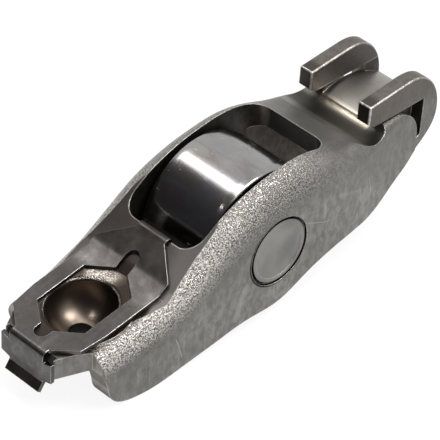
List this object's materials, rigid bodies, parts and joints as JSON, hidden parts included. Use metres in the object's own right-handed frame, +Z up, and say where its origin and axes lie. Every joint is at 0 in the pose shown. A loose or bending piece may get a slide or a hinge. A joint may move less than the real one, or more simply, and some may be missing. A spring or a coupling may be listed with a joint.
{
  "type": "roller finger follower rocker arm",
  "caption": "Pressed steel roller rocker arm with a ball socket and spring clip at one end, a needle-bearing cam roller in its window, and hooked guides over the valve pad.",
  "frame": {"origin": "on the roller axis, midway between the side walls", "axes": "+X towards the valve end, Y along the roller axle, +Z up out of the socket and pad side, with the cam side down"},
  "size_m": [0.0527, 0.0148, 0.0173],
  "materials": {
    "body_steel": "pressed and case-hardened steel, grainy on the shoulders, smooth on the walls",
    "clip_steel": "dark rolled spring steel",
    "axle_steel": "turned end faces",
    "roller_steel": "ground and polished bearing steel",
    "needle_steel": "ground bearing steel"
  },
  "bodies": {
    "arm": {"body": "body_steel", "retaining_clip": "clip_steel", "roller_axle": "axle_steel"},
    "roller": {"cam_roller": "roller_steel"},
    "needle_set": {"needle_01": "needle_steel", "needle_02": "needle_steel", "needle_03": "needle_steel", "needle_04": "needle_steel", "needle_05": "needle_steel", "needle_06": "needle_steel", "needle_07": "needle_steel", "needle_08": "needle_steel", "needle_09": "needle_steel", "needle_10": "needle_steel", "needle_11": "needle_steel", "needle_12": "needle_steel", "needle_13": "needle_steel", "needle_14": "needle_steel", "needle_15": "needle_steel", "needle_16": "needle_steel", "needle_17": "needle_steel", "needle_18": "needle_steel"}
  },
  "joints": [
    {"name": "roller_spin", "type": "hinge", "parent": "arm", "child": "roller", "pos_m": [0, 0, 0], "axis": [0, 1, 0], "continuous": true},
    {"name": "needle_orbit", "type": "hinge", "parent": "arm", "child": "needle_set", "pos_m": [0, 0, 0], "axis": [0, 1, 0], "continuous": true}
  ],
  "couplings": [
    {"joint": "needle_orbit", "follows": "roller_spin", "ratio": 0.58904}
  ]
}
